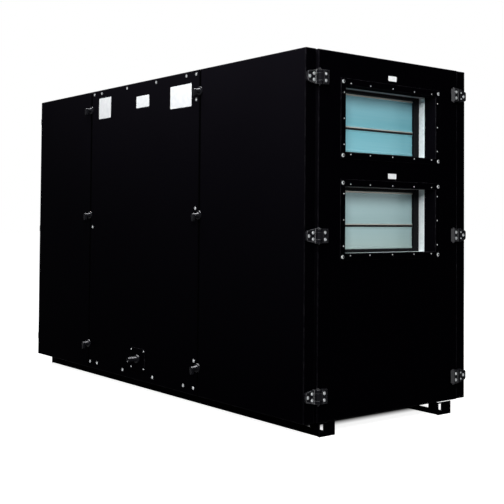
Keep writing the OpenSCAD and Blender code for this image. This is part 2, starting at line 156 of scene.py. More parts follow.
world = bpy.data.worlds.new("studio_world")
scene.world = world
world.use_nodes = True
tree = world.node_tree
tree.nodes.clear()
soft = add(tree, "ShaderNodeBackground", {"Color": SKY, "Strength": SKY_STRENGTH})
white = add(tree, "ShaderNodeBackground", {"Color": WHITE, "Strength": 1.0})
both = add(tree, "ShaderNodeMixShader", {0: seen_rays(tree), 1: soft.outputs[0], 2: white.outputs[0]})
add(tree, "ShaderNodeOutputWorld", {"Surface": both.outputs[0]})
print("world:", world.name, "sky strength:", SKY_STRENGTH)

# %% [markdown]
# ## The floor
# A surround without a floor would leave the unit hanging in the air. This floor is pale and
# stays real: it takes the shadow, and a glow for the camera lifts it to white, but not
# between the rails, where the gaps would otherwise shine. It throws only a little light back
# up, as if dark cloths lay in front of the unit, so the sides sink to black at the foot.

# %% A finish and its places
def new_finish(name, **values):
    """A finish, its tree and its shader. In a socket's name an underscore is a space."""
    finish = bpy.data.materials.new(name)
    finish.use_nodes = True
    shader = finish.node_tree.nodes["Principled BSDF"]
    for socket, value in values.items():
        shader.inputs[socket.replace("_", " ")].default_value = value
    return finish, finish.node_tree, shader


def feed(tree, shader, **values):
    """Links sockets to the shader's inputs, which are named in the same way."""
    for socket, value in values.items():
        tree.links.new(value, shader.inputs[socket.replace("_", " ")])


def where(tree, stretch=(1, 1, 1)):
    """The place on the object, in metres."""
    at = add(tree, "ShaderNodeTexCoord").outputs["Object"]
    return add(tree, "ShaderNodeMapping", {"Vector": at, "Scale": stretch}).outputs[0]

# %% Floor
FLOOR_HALF, FLOOR_CELLS = 40, 8
# The glow, and how pale the floor is to the camera and to the light it throws back
GLOW, SEEN_TONE, BOUNCE_TONE = 0.90, 0.55, 0.08
# How far inside the unit's ends and the rails' faces the glow begins and is full
END_GLOW, RAIL_GLOW = (0.20, 0.14), (0.02, 0.01)

floor_mesh = bpy.data.meshes.new("studio_floor")
work = bmesh.new()
bmesh.ops.create_grid(work, x_segments=FLOOR_CELLS, y_segments=FLOOR_CELLS, size=FLOOR_HALF)
work.to_mesh(floor_mesh)
work.free()
floor = bpy.data.objects.new("studio_floor", floor_mesh)
scene.collection.objects.link(floor)

pale, tree, shader = new_finish("pale_floor", Roughness=0.9, Specular_IOR_Level=0.0,
                                Emission_Color=WHITE)
at = parts(tree, where(tree))
rail_face = -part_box("base_rail_front")[0].y
past = []
for axis, edge, (begins, full) in (("X", cad_high.x, END_GLOW), ("Y", rail_face, RAIL_GLOW)):
    far = maths(tree, "ABSOLUTE", at[axis])
    past.append(remap(tree, far, (edge - begins, edge - full), (0.0, GLOW)))
glow = times(tree, seen_rays(tree), maths(tree, "MAXIMUM", *past))
tone = remap(tree, seen_rays(tree), (0.0, 1.0), (BOUNCE_TONE, SEEN_TONE))
feed(tree, shader, Base_Color=tone, Emission_Strength=glow)
floor_mesh.materials.append(pale)
print("floor:", [round(a, 1) for a in floor.dimensions], "m")

# %% [markdown]
# ## Three soft lamps
# The long side is lightest along its top and sinks to black at the foot, which says that
# the main light hung high and close on that side. It is kept out of reflections, or it
# would burn a patch into the roof. A second, farther lamp lights the openings and gives the
# end its small highlights, and a third from behind draws the upper edges. Area lamps are
# used because a wide lamp gives the soft edge of a studio box.

# %% Lamps
def soft_box(name, place, target, size, power):
    data = bpy.data.lights.new(name, "AREA")
    data.shape = "RECTANGLE"
    data.size, data.size_y = size
    data.energy = power
    lamp = bpy.data.objects.new(name, data)
    scene.collection.objects.link(lamp)
    lamp.location = place
    lamp.rotation_mode = "QUATERNION"
    lamp.rotation_quaternion = (Vector(target) - Vector(place)).to_track_quat("-Z", "Y")
    lamp.visible_camera = False
    return lamp


close_lamp = soft_box("long_side_box", place=(0.70, -0.95, 2.35), target=(0.70, -0.43, 1.3),
                      size=(2.8, 0.5), power=70)
close_lamp.visible_glossy = False
soft_box("end_box", place=(4.4, -3.4, 2.8), target=(1.1, 0.0, 0.9), size=(1.6, 1.6), power=225)
soft_box("roof_box", place=(-2.0, 3.4, 4.2), target=(0.0, 0.0, 1.0), size=(3.0, 2.0), power=170)

# %% [markdown]
# ## Tools that every finish shares
# Real sheet metal has no razor edges: paint is thin there, and hands and pallets rub it.
# The Bevel node rounds the shading near an edge without new geometry. Where that rounded
# normal leaves the flat one, we are on an edge, so one node gives us both the highlight
# and the mask for wear and for painted edge highlights. Patterns read Object coordinates,
# and because every piece sits at the origin they are metres in the unit's own frame.

# %% Patterns and colours
# Most values of a noise pattern lie in this span
NOISE_SPAN = (0.3, 0.7)


def noise(tree, scale, detail=3.0, stretch=(1, 1, 1)):
    return add(tree, "ShaderNodeTexNoise", {"Vector": where(tree, stretch), "Scale": scale,
                                            "Detail": detail}).outputs[0]


def colour(value):
    """A written colour gets its opacity, and a socket stays as it is."""
    return (*value, 1) if isinstance(value, tuple) else value


def blend(tree, share, first, second):
    """The first colour where the share is 0, the second where it is 1."""
    # The Mix node has sockets for every kind of value: 6, 7 and output 2 are the colours.
    return add(tree, "ShaderNodeMix", {0: share, 6: colour(first), 7: colour(second)},
               data_type="RGBA").outputs[2]

# %% Edges and grain
# How alike the rounded and the flat normal are where the edge mask begins and where it is full
EDGE_MASK_SPAN = (0.985, 0.86)


def surface_normal(tree):
    return add(tree, "ShaderNodeNewGeometry").outputs["Normal"]


def likeness(tree, a, b):
    return add(tree, "ShaderNodeVectorMath", {0: a, 1: b}, operation="DOT_PRODUCT").outputs["Value"]


def rounded_edges(tree, radius):
    """The normal, rounded within this radius of an edge."""
    return add(tree, "ShaderNodeBevel", {"Radius": radius}, samples=4).outputs[0]


def edge_share(tree, rounded):
    """How far the rounded normal leaves the flat one: 0 on a face, 1 on an edge."""
    return remap(tree, likeness(tree, rounded, surface_normal(tree)), EDGE_MASK_SPAN)


def grained(tree, shader, rounded, scale, strength, depth):
    """Fine surface grain on top of the rounded edges."""
    bump = add(tree, "ShaderNodeBump", {"Height": noise(tree, scale, detail=2.0), "Strength": strength,
                                        "Distance": depth, "Normal": rounded})
    feed(tree, shader, Normal=bump.outputs[0])

# %% [markdown]
# ## Black powder coat
# The casing is sheet steel with a black, slightly violet powder coat. Powder melts into a
# skin like orange peel, so there is a millimetre-sized bump. Its gloss drifts from place to
# place, thin dust gathers on level faces and dulls them, and folded edges are painted paler:
# partly rubbed paint, partly a painted highlight where an edge catches the light. The long
# sides are painted lighter towards the top, a painted sheen of the light from above. Along
# the joints of the side panels the coat is darkened, partly by soot and partly as painted
# shade of the open joint, so they read as dark lines. A single black would look like a hole
# in the picture.

# %% Powder coat
# The second colour is a painted sheen: the long sides' tops as lit from above
COAT_FOOT, COAT_LIT_HEAD = (0.0005, 0.0004, 0.0008), (0.0029, 0.0026, 0.0037)
# The scuff colour is partly rubbed paint and partly a painted edge highlight
DUST, SCUFF_AND_HIGHLIGHT, SOOT_AND_SHADE = (0.016, 0.0155, 0.016), (0.046, 0.044, 0.050), (0.0003, 0.0003, 0.0004)
# Spans of the normal where a face counts as level and as a long side, and where the painted sheen starts
LEVEL_SPAN, SIDE_SPAN, SHEEN_FROM = (0.6, 1.0), (0.5, 0.9), 0.05
# The open joint, the span beside it in which soot and painted shade fade, and a thin skin behind the panels
PANEL_JOINT, SOOT_AND_SHADE_SPAN, SKIN = 0.004, (0.011, 0.003), 0.001

coat, tree, shader = new_finish("satin_black_coat", Specular_IOR_Level=0.0003)
rounded = rounded_edges(tree, radius=0.0022)
grained(tree, shader, rounded, scale=620.0, strength=0.10, depth=0.0004)
at = parts(tree, where(tree))
facing = parts(tree, surface_normal(tree))
drift = noise(tree, scale=1.7, detail=4.0)
gloss = maths(tree, "MAXIMUM", remap(tree, drift, NOISE_SPAN, (0.30, 0.42)),
              remap(tree, facing["Z"], LEVEL_SPAN, (0.0, 0.95)))
dust = times(tree, remap(tree, facing["Z"], LEVEL_SPAN, (0.0, 0.4)),
             remap(tree, noise(tree, scale=34.0, detail=8.0), (0.25, 0.80), (0.3, 1.0)))
sideways = remap(tree, maths(tree, "ABSOLUTE", facing["Y"]), SIDE_SPAN)
# Painted sheen: the long sides get lighter towards the top, as the light from above falls
painted_sheen = times(tree, sideways, remap(tree, at["Z"], (SHEEN_FROM, cad_high.z)))
painted_sheen = times(tree, painted_sheen, remap(tree, drift, NOISE_SPAN, (0.85, 1.0)))
# Paler edges: rubbed paint and a painted highlight where edges catch the light
scuffs_and_highlight = times(tree, edge_share(tree, rounded),
               remap(tree, noise(tree, scale=46.0, detail=4.0), (0.40, 0.66), (0.15, 0.75)))
tint = blend(tree, painted_sheen, COAT_FOOT, COAT_LIT_HEAD)
tint = blend(tree, dust, tint, DUST)
tint = blend(tree, scuffs_and_highlight, tint, SCUFF_AND_HIGHLIGHT)

side_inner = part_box("side_panel_middle")[1].y
back_low, back_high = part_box("back_panel_middle")
on_sides = maths(tree, "MAXIMUM", remap(tree, at["Y"], (side_inner + SKIN, side_inner)),
                 remap(tree, at["Y"], (back_low.y - SKIN, back_low.y)))
# Darker bands beside the joints: soot and painted shade of the open joint
for joint in (back_low.x - PANEL_JOINT / 2, back_high.x + PANEL_JOINT / 2):
    away = maths(tree, "ABSOLUTE", maths(tree, "SUBTRACT", at["X"], joint))
    tint = blend(tree, times(tree, on_sides, remap(tree, away, SOOT_AND_SHADE_SPAN)), tint, SOOT_AND_SHADE)
feed(tree, shader, Base_Color=tint, Roughness=gloss)
print("made finish:", coat.name)

# %% [markdown]
# ## Moulded black for hinges, clamps and drain
# Hinges and clamps are moulded from filled nylon. The tool they come from is eroded, which
# leaves an even, fine grain. Their rims get a painted highlight, a paler colour where the
# edges catch the light. The clamps and the drain stub also get a painted highlight on their
# upper faces, lit from above, and the keepers' blocks on their faces towards the lamps at
# the side. The hinges' blocks and the keepers' plates lie flatter and get only a faint
# painted highlight on their rims. That is one recipe with a direction and two numbers
# changed, and a function keeps the four finishes alike.

# %% Moulded fittings
# The last colour is a painted highlight for rims and lit faces
NYLON_DARK, NYLON, PAINTED_HIGHLIGHT = (0.004, 0.004, 0.005), (0.009, 0.009, 0.011), (0.55, 0.55, 0.57)


def moulded_finish(name, rim_highlight, lit_face_highlight=0.0, light_side=(0, 0, 1)):
    finish, tree, shader = new_finish(name, Specular_IOR_Level=0.012)
    rounded = rounded_edges(tree, radius=0.0016)
    grained(tree, shader, rounded, scale=1500.0, strength=0.16, depth=0.0003)
    patchy = noise(tree, scale=38.0, detail=4.0)
    # Painted highlight: paler on faces turned to the light and on rims where edges catch it
    towards = remap(tree, likeness(tree, surface_normal(tree), light_side), (0.50, 0.97))
    rim = times(tree, edge_share(tree, rounded),
                remap(tree, patchy, (0.30, 0.62), (rim_highlight / 2, rim_highlight)))
    highlight_share = maths(tree, "MAXIMUM", times(tree, towards, lit_face_highlight), rim)
    tint = blend(tree, highlight_share, blend(tree, patchy, NYLON_DARK, NYLON), PAINTED_HIGHLIGHT)
    feed(tree, shader, Base_Color=tint, Roughness=remap(tree, patchy, NOISE_SPAN, (0.24, 0.38)))
    print("made finish:", name)
    return finish


# Painted highlights: strong on all rims, on clamp and drain tops, on keeper block sides, faint on the rest
moulded = moulded_finish("moulded_black", rim_highlight=0.62)
top_lit = moulded_finish("top_lit_black", rim_highlight=0.025, lit_face_highlight=0.50)
side_lit = moulded_finish("side_lit_black", rim_highlight=0.10, lit_face_highlight=0.09, light_side=(0, -1, 0))
faint_rim = moulded_finish("faint_rim_black", rim_highlight=0.09)

# %% [markdown]
# ## Galvanised sheet
# The sleeves behind the openings are bare galvanised steel. Zinc freezes in crystals, the
# spangle, each with its own brightness. Voronoi cells are exactly that: flat patches with
# one random value each. The value sets both the grey and the gloss of its crystal. Faces
# that look down are painted darker, a painted shade of the dark inside that they face.

# %% Galvanised sheet
CRYSTAL_DULL, CRYSTAL_BRIGHT = (0.76, 0.83, 0.845), (0.88, 0.95, 0.96)
ZINC_CLOUD, ZINC_SHADED = (0.88, 0.91, 0.91), (0.28, 0.25, 0.26)

zinc, tree, shader = new_finish("galvanised_sheet", Metallic=0.1)
grained(tree, shader, rounded_edges(tree, radius=0.0010), scale=240.0, strength=0.06, depth=0.0004)
crystals = add(tree, "ShaderNodeTexVoronoi", {"Vector": where(tree), "Scale": 105.0})
spangle = add(tree, "ShaderNodeSeparateColor", {0: crystals.outputs["Color"]}).outputs[0]
cloud = remap(tree, noise(tree, scale=9.0, detail=4.0), (0.45, 0.75), (0.0, 0.4))
# Painted shade: faces that look down are darker
shaded_underside = remap(tree, parts(tree, surface_normal(tree))["Z"], (-0.5, -0.9))
tint = blend(tree, spangle, CRYSTAL_DULL, CRYSTAL_BRIGHT)
tint = blend(tree, cloud, tint, ZINC_CLOUD)
tint = blend(tree, shaded_underside, tint, ZINC_SHADED)
feed(tree, shader, Base_Color=tint, Roughness=remap(tree, spangle, (0.0, 1.0), (0.34, 0.52)))
print("made finish:", zinc.name)

# %% [markdown]
# ## Damper frames and leaves
# Behind each opening sits a damper: a black frame with two blades that shut like louvres.
# The upper pair shows a clear blue-green and the lower pair a pale grey-green, both
# changing over the height of the opening. That change is painted light: a painted reflection
# of the surroundings, and blade tops painted lighter against the shade under the opening's
# top edge. It is written along the height of the unit, with faint rolling marks that run
# along the blades.

# %% Damper frames
FRAME_DARK, FRAME_BLACK, FRAME_EDGE = (0.004, 0.004, 0.005), (0.008, 0.008, 0.009), (0.07, 0.07, 0.075)
FRAME_RUBBED = 0.5

dark_frame, tree, shader = new_finish("damper_frame_black", Specular_IOR_Level=0.03)
rounded = rounded_edges(tree, radius=0.0012)
grained(tree, shader, rounded, scale=800.0, strength=0.10, depth=0.0003)
streak = noise(tree, scale=60.0, stretch=(1, 1, 0.05))
tint = blend(tree, streak, FRAME_DARK, FRAME_BLACK)
tint = blend(tree, times(tree, edge_share(tree, rounded), FRAME_RUBBED), tint, FRAME_EDGE)
feed(tree, shader, Base_Color=tint, Roughness=remap(tree, streak, NOISE_SPAN, (0.38, 0.52)))
print("made finish:", dark_frame.name)

# %% Damper blades
ROLLED_MARK, BLADE_EDGE = (0.75, 0.82, 0.82), (0.70, 0.78, 0.78)
# How strongly the rolling marks and the rubbed edges show
MARKED, BLADE_RUBBED = 0.05, 0.6
# Shares of the height where the middle colour is reached and where it is left again
MIDDLE_FROM, MIDDLE_TO = 0.45, 0.6
# How far the change of colour wanders up and down, in metres
WANDER = 0.03


def blade_finish(name, node, top, middle, foot):
    low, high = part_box(node)
    span = high.z - low.z
    finish, tree, shader = new_finish(name, Metallic=0.15, Specular_IOR_Level=0.45)
    rounded = rounded_edges(tree, radius=0.0012)
    grained(tree, shader, rounded, scale=300.0, strength=0.04, depth=0.0003)
    rolled = noise(tree, scale=150.0, stretch=(1, 0.03, 1))
    height = maths(tree, "ADD", parts(tree, where(tree))["Z"], times(tree, noise(tree, scale=5.0), WANDER))
    # Painted light along the height: a painted reflection, and a lighter top against the shade
    tint = blend(tree, remap(tree, height, (low.z, low.z + MIDDLE_FROM * span)), foot, middle)
    tint = blend(tree, remap(tree, height, (low.z + MIDDLE_TO * span, high.z)), tint, top)
    tint = blend(tree, times(tree, remap(tree, rolled, (0.35, 0.7)), MARKED), tint, ROLLED_MARK)
    tint = blend(tree, times(tree, edge_share(tree, rounded), BLADE_RUBBED), tint, BLADE_EDGE)
    feed(tree, shader, Base_Color=tint, Roughness=remap(tree, rolled, NOISE_SPAN, (0.30, 0.42)))
    print("made finish:", name)
    return finish


# The top colours are painted lighter, a painted highlight against the shade at the top of the recess
upper_blade = blade_finish("blade_blue_green", "leaves_upper", top=(0.26, 0.60, 0.70),
                           middle=(0.18, 0.50, 0.585), foot=(0.21, 0.505, 0.58))
lower_blade = blade_finish("blade_grey_green", "leaves_lower", top=(0.53, 0.755, 0.78),
                           middle=(0.39, 0.57, 0.585), foot=(0.39, 0.515, 0.49))

# %% [markdown]
# ## Put the finishes on the solids
# The imported record names a material slot for every solid, so one table from slot to finish
# dresses them all, and a new solid with a known slot would be dressed without a new line.
# A second, short table names the fittings that get painted highlights of their own.

# %% Dress the solids
finish_of = {"coat": coat, "fitting": moulded, "zinc": zinc, "damper_frame": dark_frame,
             "leaf_upper": upper_blade, "leaf_lower": lower_blade}
lit_finish_of = {"clamps": top_lit, "drain_pipe": top_lit, "keeper_blocks": side_lit,
        "keeper_leaves": faint_rim, "hinge_blocks": faint_rim}
used = set()
for row in frame["record"]["subparts"]:
    finish = finish_of[row["material_slot"]]
    for word, own_finish in lit_finish_of.items():
        if word in row["node"]:
            finish = own_finish
    used.add(finish.name)
    solid = frame["nodes"][row["node"]]
    if not solid.material_slots:
        solid.data.materials.append(None)
    for slot in solid.material_slots:
        slot.material = finish

# %% [markdown]
# ## Screws by Geometry Nodes
# More than a hundred screws hold this unit. Copying one by hand would work once, but a tree
# of geometry nodes keeps them editable: points say where, the tree says what. Each point
# carries an arrow, `facing`, that the head turns to, and a seeded random twist keeps the
# cross slots from lining up. The pan head is half an ellipsoid with a cross cut into it.

# %% Tree helpers
def new_tree(name, inputs):
    tree = bpy.data.node_groups.new(name, "GeometryNodeTree")
    tree.interface.new_socket("Geometry", in_out="INPUT", socket_type="NodeSocketGeometry")
    for label, kind in inputs:
        tree.interface.new_socket(label, in_out="INPUT", socket_type=kind)
    tree.interface.new_socket("Geometry", in_out="OUTPUT", socket_type="NodeSocketGeometry")
    return tree, add(tree, "NodeGroupInput").outputs


def triple(tree, x, y, z):
    return add(tree, "ShaderNodeCombineXYZ", {0: x, 1: y, 2: z}).outputs[0]


def shifted(tree, mesh, offset, scale=(1, 1, 1), turn=(0, 0, 0)):
    return add(tree, "GeometryNodeTransform", {"Geometry": mesh, "Translation": offset,
                                               "Rotation": turn, "Scale": scale}).outputs[0]


def lifted(tree, mesh, height, scale=(1, 1, 1)):
    return shifted(tree, mesh, triple(tree, 0, 0, height), scale)


def cut(tree, operation, first, second):
    """A boolean of two meshes. Only a difference has a first mesh of its own."""
    made = add(tree, "GeometryNodeMeshBoolean", operation=operation, solver="EXACT")
    tree.links.new(first, made.inputs["Mesh 1" if operation == "DIFFERENCE" else "Mesh 2"])
    tree.links.new(second, made.inputs["Mesh 2"])
    return made.outputs["Mesh"]


def dressed(tree, mesh, finish):
    return add(tree, "GeometryNodeSetMaterial", {"Geometry": mesh, "Material": finish}).outputs[0]

# %% How every screw tree ends
def scatter(tree, given, head):
    """Ends a tree: the dressed head on every point, turned to its arrow, as real mesh."""
    arrow = add(tree, "GeometryNodeInputNamedAttribute", {"Name": "facing"}, data_type="FLOAT_VECTOR")
    aim = add(tree, "FunctionNodeAlignRotationToVector", {"Vector": arrow.outputs[0]}, axis="Z")
    # The node has sockets for every kind of number: 2, 3 and output 1 are the plain ones.
    angle = add(tree, "FunctionNodeRandomValue", {"Seed": given["Seed"], 2: 0.0, 3: math.tau},
                data_type="FLOAT")
    twist = add(tree, "FunctionNodeAxisAngleToRotation", {"Axis": (0, 0, 1), "Angle": angle.outputs[1]})
    turn = add(tree, "FunctionNodeRotateRotation", {0: aim.outputs[0], 1: twist.outputs[0]},
               rotation_space="LOCAL")
    many = add(tree, "GeometryNodeInstanceOnPoints", {"Points": given["Geometry"], "Instance": head,
                                                      "Rotation": turn.outputs[0]})
    real = add(tree, "GeometryNodeRealizeInstances", {0: many.outputs[0]})
    add(tree, "NodeGroupOutput", {0: real.outputs[0]})


def finish_tree(tree, given, washer, *heads):
    """Sets the head's parts on the washer and puts them all on every point."""
    joined = add(tree, "GeometryNodeJoinGeometry")
    tree.links.new(dressed(tree, washer, given["Material"]), joined.inputs[0])
    for head in heads:
        tree.links.new(lifted(tree, head, given["Washer thickness"]), joined.inputs[0])
    scatter(tree, given, joined.outputs[0])
    print("tree:", tree.name, "nodes:", len(tree.nodes))
    return tree

# %% Pan-head screw tree
SCREW_INPUTS = [("Head radius", "NodeSocketFloat"), ("Head height", "NodeSocketFloat"),
                ("Washer radius", "NodeSocketFloat"), ("Washer thickness", "NodeSocketFloat"),
                ("Seed", "NodeSocketInt"), ("Material", "NodeSocketMaterial")]
# The block that keeps the ball's upper half: shares of the head's radius and height
BLOCK_WIDE, BLOCK_TALL = 4.0, 2.2
# Length and width of a slit, as shares of the head's radius
SLIT_LONG, SLIT_WIDE = 1.05, 0.24


def washer_and_dome(tree, given):
    """A flat washer on the ground, and half an ellipsoid that has yet to be set on it."""
    radius, tall, thick = given["Head radius"], given["Head height"], given["Washer thickness"]
    washer = add(tree, "GeometryNodeMeshCylinder", {"Vertices": 32, "Radius": given["Washer radius"],
                                                    "Depth": thick}).outputs["Mesh"]
    washer = lifted(tree, washer, times(tree, thick, 0.5))
    ball = add(tree, "GeometryNodeMeshUVSphere", {"Segments": 24, "Rings": 12, "Radius": 1.0}).outputs["Mesh"]
    ball = shifted(tree, ball, (0, 0, 0), triple(tree, radius, radius, tall))
    wide = times(tree, radius, BLOCK_WIDE)
    size = triple(tree, wide, wide, times(tree, tall, BLOCK_TALL))
    block = add(tree, "GeometryNodeMeshCube", {"Size": size}).outputs["Mesh"]
    block = lifted(tree, block, times(tree, tall, BLOCK_TALL / 2))
    return washer, cut(tree, "INTERSECT", ball, block)


def pan_head_screws():
    tree, given = new_tree("pan_head_screws", SCREW_INPUTS)
    washer, dome = washer_and_dome(tree, given)
    radius, tall = given["Head radius"], given["Head height"]
    size = triple(tree, times(tree, radius, SLIT_LONG), times(tree, radius, SLIT_WIDE), tall)
    bar = lifted(tree, add(tree, "GeometryNodeMeshCube", {"Size": size}).outputs["Mesh"], tall)
    crossing = shifted(tree, bar, (0, 0, 0), turn=(0, 0, math.pi / 2))
    for slit in (bar, crossing):
        dome = cut(tree, "DIFFERENCE", dome, slit)
    return finish_tree(tree, given, washer, dressed(tree, dome, given["Material"]))


pan_tree = pan_head_screws()

# %% [markdown]
# ## Socket bolts
# The four corner bolts of each duct opening are larger, because the duct hangs on them.
# They have a low round head with a hexagonal socket for a key. Its bottom holds a painted
# shade, a thin dark prism, and so each bolt shows as a bright ring around a dark middle. The
# head starts as the same dome. A six-sided prism cuts the socket, and the thin dark one lies
# in it as painted shade.

# %% Socket bolt tree
# The socket's radius and the middles of its cut and of its painted shade, as shares of the head
SOCKET_WIDE, SOCKET_AT, SHADE_AT = 0.66, 0.90, 0.55
# The painted shade in the socket, as shares of the prism that cuts it
SHADE_SCALE = (0.98, 0.98, 0.3)


def socket_bolts():
    tree, given = new_tree("socket_bolts", SCREW_INPUTS)
    washer, dome = washer_and_dome(tree, given)
    radius, tall = given["Head radius"], given["Head height"]
    key = add(tree, "GeometryNodeMeshCylinder", {"Vertices": 6, "Radius": times(tree, radius, SOCKET_WIDE),
                                                 "Depth": tall}).outputs["Mesh"]
    head = cut(tree, "DIFFERENCE", dome, lifted(tree, key, times(tree, tall, SOCKET_AT)))
    # A thin dark prism of painted shade in the socket's bottom
    socket_shade = lifted(tree, key, times(tree, tall, SHADE_AT), SHADE_SCALE)
    return finish_tree(tree, given, washer, dressed(tree, head, given["Material"]),
                       dressed(tree, socket_shade, faint_rim))


socket_tree = socket_bolts()

# %% [markdown]
# ## Bright zinc for the fasteners
# Screws are zinc plated and lightly brushed by tumbling in a drum. They are the brightest
# small things on the unit, so they stay metallic and fairly smooth, with a fine mottling
# that breaks up their reflections.

# %% Screw finish
PLATED_GREY, PLATED_BRIGHT = (0.29, 0.30, 0.31), (0.44, 0.45, 0.46)

plated, tree, shader = new_finish("bright_zinc_plate", Metallic=0.9)
grained(tree, shader, rounded_edges(tree, radius=0.0006), scale=900.0, strength=0.08, depth=0.0002)
mottle = noise(tree, scale=420.0, detail=4.0)
feed(tree, shader, Base_Color=blend(tree, mottle, PLATED_GREY, PLATED_BRIGHT),
     Roughness=remap(tree, mottle, NOISE_SPAN, (0.24, 0.44)))
print("made finish:", plated.name)

# %% From points to a piece
SHARP = math.radians(32)


def set_input(modifier, name, value):
    for item in modifier.node_group.interface.items_tree:
        if item.item_type == "SOCKET" and item.in_out == "INPUT" and item.name == name:
            modifier[item.identifier] = value


def finish_piece(piece, body):
    """Turns live geometry into a plain mesh and lets it ride on its body."""
    seen = piece.evaluated_get(bpy.context.evaluated_depsgraph_get())
    plain = bpy.data.meshes.new_from_object(seen)
    piece.modifiers.clear()
    piece.data = plain
    plain.shade_smooth()
    plain.set_sharp_from_angle(angle=SHARP)
    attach(piece, body)
    print(piece.name, "on", body + ":", len(plain.polygons), "faces")


def screws(name, body, places, tree, sizes, seed):
    """places holds (point, facing) pairs, and sizes the first four inputs, all in metres."""
    mesh = bpy.data.meshes.new(name)
    mesh.from_pydata([point for point, facing in places], [], [])
    arrows = mesh.attributes.new("facing", "FLOAT_VECTOR", "POINT")
    arrows.data.foreach_set("vector", [a for point, facing in places for a in facing])
    piece = bpy.data.objects.new(name, mesh)
    scene.collection.objects.link(piece)
    modifier = piece.modifiers.new("screws", "NODES")
    modifier.node_group = tree
    for (label, kind), value in zip(SCREW_INPUTS, (*sizes, seed, plated)):
        set_input(modifier, label, value)
    finish_piece(piece, body)

# %% [markdown]
# ## Screws of the long sides
# The lift-off panel has a row of screws along its top and its foot, and a few down its
# edges. The back of the unit can't be seen, and it gets the same rows mirrored. Places are
# counted from the panel's own box, so they follow if the panel is moved or made taller.

# %% Panel screws
# Head radius, head height, washer radius and washer thickness, as for every kind of screw
PANEL_SCREW = (0.0050, 0.0040, 0.0068, 0.0014)
# How far the upper and the lower row lie inside the panel, and their places from its middle
TOP_IN, FOOT_IN = 0.017, 0.030
TOP_ROW = (-0.125, -0.362, -0.434, 0.125, 0.362, 0.434)
FOOT_ROW = (-0.444, -0.376, -0.136, 0.120, 0.360, 0.434)
# Single screws near the upright edges: from the panel's middle, and above its foot
EDGE_SPOTS = ((0.436, 1.217), (0.436, 0.767), (0.436, 0.141), (-0.437, 0.680))


def panel_places(node, outward):
    low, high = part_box(node)
    face = low.y if outward < 0 else high.y
    centre = (low.x + high.x) / 2
    spots = [(x, high.z - TOP_IN) for x in TOP_ROW] + [(x, low.z + FOOT_IN) for x in FOOT_ROW]
    spots += [(x, low.z + rise) for x, rise in EDGE_SPOTS]
    return [((centre + x, face, z), (0, outward, 0)) for x, z in spots]


screws("side_panel_screws", "casing", panel_places("side_panel_middle", -1), pan_tree, PANEL_SCREW, seed=3)
screws("back_panel_screws", "casing", panel_places("back_panel_middle", 1), pan_tree, PANEL_SCREW, seed=4)

# %% [markdown]
# ## Screws and bolts of the duct openings
# A flat steel frame surrounds each opening. Sixteen small screws hold it to the panel and
# four bolts wait at its corners for the duct. The two openings at the far end repeat them.

# %% Duct opening screws
OPENING_SCREW = (0.0024, 0.0020, 0.0027, 0.0005)
DUCT_BOLT = (0.0068, 0.0042, 0.0073, 0.0010)
# Rows above and below the opening, rows beside it, and the bolts, all from its middle
ROW_ACROSS, ROW_UP = (-0.2235, -0.1215, 0, 0.1215, 0.2235), 0.1315
COLUMN_ACROSS, COLUMN_UP = 0.258, (-0.096, 0, 0.096)
BOLT_ACROSS, BOLT_UP = 0.263, 0.136


def opening_places(node, outward):
    low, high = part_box(node)
    face = high.x if outward > 0 else low.x
    mid = (low + high) / 2
    small = [(y, sign * ROW_UP) for sign in (-1, 1) for y in ROW_ACROSS]
    small += [(sign * COLUMN_ACROSS, z) for sign in (-1, 1) for z in COLUMN_UP]
    large = [(y * BOLT_ACROSS, z * BOLT_UP) for y in (-1, 1) for z in (-1, 1)]
    return [[((face, mid.y + y, mid.z + z), (outward, 0, 0)) for y, z in group]
            for group in (small, large)]


for body, start, outward in (("door", "", 1), ("casing", "far_", -1)):
    small, large = [], []
    for storey in ("upper", "lower"):
        around, corners = opening_places(start + "flange_" + storey, outward)
        small += around
        large += corners
    screws(start + "opening_screws", body, small, pan_tree, OPENING_SCREW, seed=11)
    screws(start + "opening_bolts", body, large, socket_tree, DUCT_BOLT, seed=12)

# %% [markdown]
# ## Screws of hinges, keepers and drain
# Each door fitting has three screws in its tapered wall plate, one outside and two inside,
# and two more in the block beside it. Both parts have a sunk field inside a raised rim, so
# a screw head never stands out and catches a sleeve. A keeper's two inner screws go through
# its raised catch and are smaller. The plates stay with the casing and the blocks swing with
# the door, so near the door the screws are pieces on two bodies. At the far end everything
# belongs to the casing.

# %% Places on hinges and keepers
FITTING_H = 0.052
# Height of a plate's field and of a catch above the wall, and depth of a block's field
PLATE_FIELD, CATCH_OUT, BLOCK_SUNK = 0.006, 0.016, 0.0045
# Places of the screws, inwards from the side of the unit, then above and below the middle
PLATE_OUTER = 0.0150
PLATE_INNER, CATCH_INNER = (0.0360, 0.0115), (0.0425, 0.0125)
BLOCK_IN, BLOCK_RISE = 0.0795, 0.0125


def fitting_places(blocks, wall_x, block_x, facing):
    """Places in the plates, the catches and the blocks of the six fittings at one end."""
    low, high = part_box(blocks)
    side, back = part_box("side_panel_right")[0].y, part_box("back_panel_right")[1].y
    plate_x, catch_x = wall_x + facing * PLATE_FIELD, wall_x + facing * CATCH_OUT
    arrow = (facing, 0, 0)
    plates, catches, in_blocks = [], [], []
    for z in (low.z + FITTING_H / 2, (low.z + high.z) / 2, high.z - FITTING_H / 2):
        for edge, inward in ((side, 1), (back, -1)):
            plates.append(((plate_x, edge + inward * PLATE_OUTER, z), arrow))
            is_hinge = facing > 0 and edge == side
            inner_group = plates if is_hinge else catches
            inner_x, (reach, rise) = (plate_x, PLATE_INNER) if is_hinge else (catch_x, CATCH_INNER)
            for sign in (1, -1):
                inner_group.append(((inner_x, edge + inward * reach, z + sign * rise), arrow))
                in_blocks.append(((block_x, edge + inward * BLOCK_IN, z + sign * BLOCK_RISE), arrow))
    return plates, catches, in_blocks

